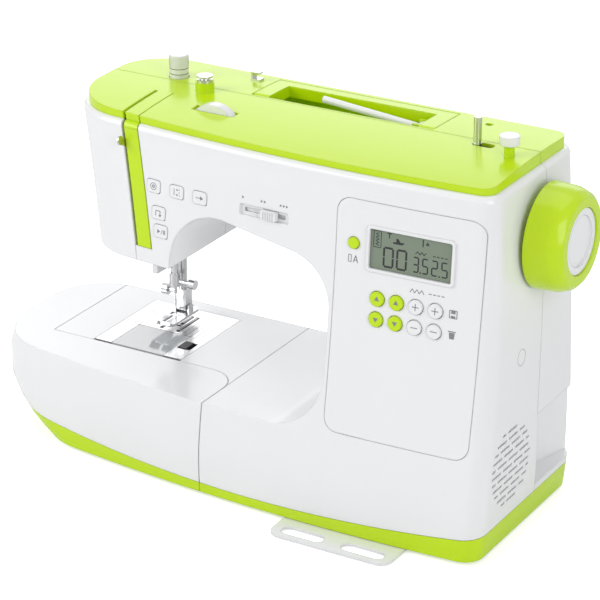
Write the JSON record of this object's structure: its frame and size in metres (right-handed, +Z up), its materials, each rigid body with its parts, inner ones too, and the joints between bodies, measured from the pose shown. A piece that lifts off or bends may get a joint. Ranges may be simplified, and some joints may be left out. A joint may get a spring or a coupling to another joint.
{
  "type": "sewing machine",
  "caption": "White and lime-green household electronic sewing machine with slide-off extension table, display panel, handwheel, carry handle and pull-out stitch chart.",
  "frame": {"origin": "centre of the bounding box, on the table", "axes": "+X to the handwheel side, -Y towards the user, +Z up"},
  "size_m": [0.4339, 0.176, 0.277],
  "materials": {
    "white_shell": "glossy",
    "green_shell": "glossy",
    "clear_panel": "satin",
    "display": "glossy",
    "steel": "brushed",
    "chrome": "polished",
    "frame_cast": "cast",
    "black_plastic": "matte",
    "rubber": "matte",
    "grey_plastic": "satin",
    "clear_bobbin": "glossy"
  },
  "bodies": {
    "housing": {"base_tray": "green_shell", "rubber_feet": "rubber", "front_housing": "white_shell", "free_arm_cover": "white_shell", "rear_housing": "white_shell", "front_top_cover": "green_shell", "rear_top_cover": "green_shell", "face_cover": "white_shell", "thread_slot_cover": "green_shell", "control_panel": "white_shell", "display": "display", "needle_plate": "chrome", "machine_frame": "frame_cast", "drive_motor": "black_plastic", "power_inlet": "black_plastic", "thread_guides": "chrome", "winder_stopper": "white_shell", "drive_belts": "rubber", "bobbin_case": "black_plastic"},
    "drive_line": {"handwheel": "green_shell", "handwheel_cap": "white_shell", "upper_shaft": "steel"},
    "motor_rotor": {"motor_pulley": "grey_plastic"},
    "hook_drive": {"lower_shaft": "steel"},
    "hook": {"rotary_hook": "steel"},
    "needle_unit": {"needle_bar": "steel", "needle_clamp": "steel", "needle": "steel"},
    "take_up": {"take_up_lever": "steel"},
    "lifter": {"presser_lifter": "grey_plastic"},
    "presser_unit": {"presser_bar": "steel", "foot_holder": "steel"},
    "foot": {"presser_foot": "steel"},
    "threader": {"needle_threader": "white_shell"},
    "bobbin_lid": {"bobbin_cover": "clear_panel"},
    "release": {"cover_release": "black_plastic"},
    "bobbin_spool": {"bobbin": "clear_bobbin"},
    "feed": {"feed_dogs": "steel"},
    "extension": {"extension_table": "white_shell", "extension_base": "green_shell"},
    "chart": {"stitch_chart": "white_shell"},
    "handle": {"carry_handle": "green_shell"},
    "spool": {"spool_pin": "white_shell"},
    "tension": {"tension_dial": "white_shell"},
    "pressure": {"pressure_dial": "white_shell"},
    "winder": {"winder_spindle": "chrome"},
    "speed": {"speed_slider": "white_shell"},
    "thread_lock_key": {"thread_lock_button": "white_shell"},
    "needle_stop_key": {"needle_stop_button": "white_shell"},
    "slow_sew_key": {"slow_sew_button": "white_shell"},
    "reverse_key": {"reverse_button": "white_shell"},
    "start_stop_key": {"start_stop_button": "white_shell"},
    "pattern_tens_up_key": {"pattern_tens_up_button": "green_shell"},
    "pattern_units_up_key": {"pattern_units_up_button": "green_shell"},
    "width_plus_key": {"width_plus_button": "white_shell"},
    "length_plus_key": {"length_plus_button": "white_shell"},
    "pattern_tens_down_key": {"pattern_tens_down_button": "green_shell"},
    "pattern_units_down_key": {"pattern_units_down_button": "green_shell"},
    "width_minus_key": {"width_minus_button": "white_shell"},
    "length_minus_key": {"length_minus_button": "white_shell"},
    "mode_key": {"mode_button": "green_shell"}
  },
  "joints": [
    {"name": "handwheel_spin", "type": "hinge", "parent": "housing", "child": "drive_line", "pos_m": [0.2, 0.03, 0.206], "axis": [1, 0, 0], "continuous": true},
    {"name": "motor_spin", "type": "hinge", "parent": "housing", "child": "motor_rotor", "pos_m": [0.169, 0.008, 0.062], "axis": [1, 0, 0], "continuous": true},
    {"name": "lower_shaft_spin", "type": "hinge", "parent": "housing", "child": "hook_drive", "pos_m": [0, 0.0455, 0.038], "axis": [1, 0, 0], "continuous": true},
    {"name": "hook_spin", "type": "hinge", "parent": "housing", "child": "hook", "pos_m": [-0.1065, 0.026, 0.05], "axis": [0, 0, 1], "continuous": true},
    {"name": "needle_bar_slide", "type": "slide", "parent": "housing", "child": "needle_unit", "axis": [0, 0, 1], "range_m": [-0.02, 0.01]},
    {"name": "take_up_swing", "type": "hinge", "parent": "housing", "child": "take_up", "pos_m": [-0.09265, 0.004, 0.214], "axis": [0.9848, 0, 0.1738], "range_deg": [-17.5, 35]},
    {"name": "presser_lift", "type": "hinge", "parent": "housing", "child": "lifter", "pos_m": [-0.0985, 0.073, 0.176], "axis": [0, 1, 0], "range_deg": [0, 25]},
    {"name": "presser_bar_slide", "type": "slide", "parent": "housing", "child": "presser_unit", "axis": [0, 0, 1], "range_m": [-0.0052, 0]},
    {"name": "foot_tilt", "type": "hinge", "parent": "presser_unit", "child": "foot", "pos_m": [-0.1065, 0.054, 0.0806], "axis": [1, 0, 0], "range_deg": [-6, 2]},
    {"name": "threader_slide", "type": "slide", "parent": "housing", "child": "threader", "axis": [0, 0, 1], "range_m": [-0.01, 0], "stiffness_N_per_m": 40},
    {"name": "bobbin_cover_lift", "type": "slide", "parent": "housing", "child": "bobbin_lid", "axis": [0, 0, 1], "range_m": [0, 0.005]},
    {"name": "cover_release_slide", "type": "slide", "parent": "housing", "child": "release", "axis": [1, 0, 0], "range_m": [0, 0.0028], "stiffness_N_per_m": 100},
    {"name": "bobbin_spin", "type": "hinge", "parent": "housing", "child": "bobbin_spool", "pos_m": [-0.1065, 0.026, 0.055], "axis": [0, 0, 1], "continuous": true},
    {"name": "feed_dog_slide", "type": "slide", "parent": "housing", "child": "feed", "axis": [0, 1, 0], "range_m": [-0.0015, 0.0015]},
    {"name": "table_slide", "type": "slide", "parent": "housing", "child": "extension", "axis": [-1, 0, 0], "range_m": [0, 0.19]},
    {"name": "chart_slide", "type": "slide", "parent": "housing", "child": "chart", "axis": [0, -1, 0], "range_m": [0, 0.09]},
    {"name": "handle_swing", "type": "hinge", "parent": "housing", "child": "handle", "pos_m": [0.031, 0.046, 0.254], "axis": [1, 0, 0], "range_deg": [0, 95]},
    {"name": "spool_pin_swing", "type": "hinge", "parent": "housing", "child": "spool", "pos_m": [0.082, 0.061, 0.25], "axis": [0, 1, 0], "range_deg": [0, 80]},
    {"name": "tension_turn", "type": "hinge", "parent": "housing", "child": "tension", "pos_m": [-0.044, 0.0015, 0.2436], "axis": [0, 1, 0], "range_deg": [-140, 140]},
    {"name": "pressure_turn", "type": "hinge", "parent": "housing", "child": "pressure", "pos_m": [-0.1027, 0.048, 0.27], "axis": [0, 0, 1], "range_deg": [-170, 170]},
    {"name": "winder_slide", "type": "slide", "parent": "housing", "child": "winder", "axis": [1, 0, 0], "range_m": [0, 0.009]},
    {"name": "speed_slide", "type": "slide", "parent": "housing", "child": "speed", "axis": [0.9995, -0.0316, 0], "range_m": [-0.0165, 0.0075]},
    {"name": "thread_lock_press", "type": "slide", "parent": "housing", "child": "thread_lock_key", "axis": [0.0962, 0.9926, -0.0736], "range_m": [0, 0.0006], "stiffness_N_per_m": 300},
    {"name": "needle_stop_press", "type": "slide", "parent": "housing", "child": "needle_stop_key", "axis": [0.0829, 0.9938, -0.0737], "range_m": [0, 0.0006], "stiffness_N_per_m": 300},
    {"name": "slow_sew_press", "type": "slide", "parent": "housing", "child": "slow_sew_key", "axis": [0.0698, 0.9948, -0.0738], "range_m": [0, 0.0006], "stiffness_N_per_m": 300},
    {"name": "reverse_press", "type": "slide", "parent": "housing", "child": "reverse_key", "axis": [0.0928, 0.9919, -0.0872], "range_m": [0, 0.0006], "stiffness_N_per_m": 300},
    {"name": "start_stop_press", "type": "slide", "parent": "housing", "child": "start_stop_key", "axis": [0.0913, 0.9911, -0.0967], "range_m": [0, 0.0006], "stiffness_N_per_m": 300},
    {"name": "pattern_tens_up_press", "type": "slide", "parent": "housing", "child": "pattern_tens_up_key", "axis": [-0.0258, 0.9942, -0.1044], "range_m": [0, 0.0008], "stiffness_N_per_m": 300},
    {"name": "pattern_units_up_press", "type": "slide", "parent": "housing", "child": "pattern_units_up_key", "axis": [-0.0354, 0.9939, -0.1043], "range_m": [0, 0.0008], "stiffness_N_per_m": 300},
    {"name": "width_plus_press", "type": "slide", "parent": "housing", "child": "width_plus_key", "axis": [-0.0449, 0.9935, -0.1043], "range_m": [0, 0.0008], "stiffness_N_per_m": 300},
    {"name": "length_plus_press", "type": "slide", "parent": "housing", "child": "length_plus_key", "axis": [-0.0544, 0.9931, -0.1042], "range_m": [0, 0.0008], "stiffness_N_per_m": 300},
    {"name": "pattern_tens_down_press", "type": "slide", "parent": "housing", "child": "pattern_tens_down_key", "axis": [-0.0258, 0.9931, -0.1148], "range_m": [0, 0.0008], "stiffness_N_per_m": 300},
    {"name": "pattern_units_down_press", "type": "slide", "parent": "housing", "child": "pattern_units_down_key", "axis": [-0.0353, 0.9928, -0.1148], "range_m": [0, 0.0008], "stiffness_N_per_m": 300},
    {"name": "width_minus_press", "type": "slide", "parent": "housing", "child": "width_minus_key", "axis": [-0.0448, 0.9924, -0.1147], "range_m": [0, 0.0008], "stiffness_N_per_m": 300},
    {"name": "length_minus_press", "type": "slide", "parent": "housing", "child": "length_minus_key", "axis": [-0.0543, 0.9919, -0.1147], "range_m": [0, 0.0008], "stiffness_N_per_m": 300},
    {"name": "mode_press", "type": "slide", "parent": "housing", "child": "mode_key", "axis": [-0.0127, 0.9968, -0.0784], "range_m": [0, 0.0008], "stiffness_N_per_m": 300}
  ],
  "couplings": [
    {"joint": "motor_spin", "follows": "handwheel_spin", "ratio": 3.1429},
    {"joint": "lower_shaft_spin", "follows": "handwheel_spin", "ratio": 1},
    {"joint": "hook_spin", "follows": "handwheel_spin", "ratio": 2},
    {"joint": "take_up_swing", "follows": "needle_bar_slide", "rad_per_m": -30.543},
    {"joint": "presser_lift", "follows": "presser_bar_slide", "rad_per_m": -83.91}
  ]
}
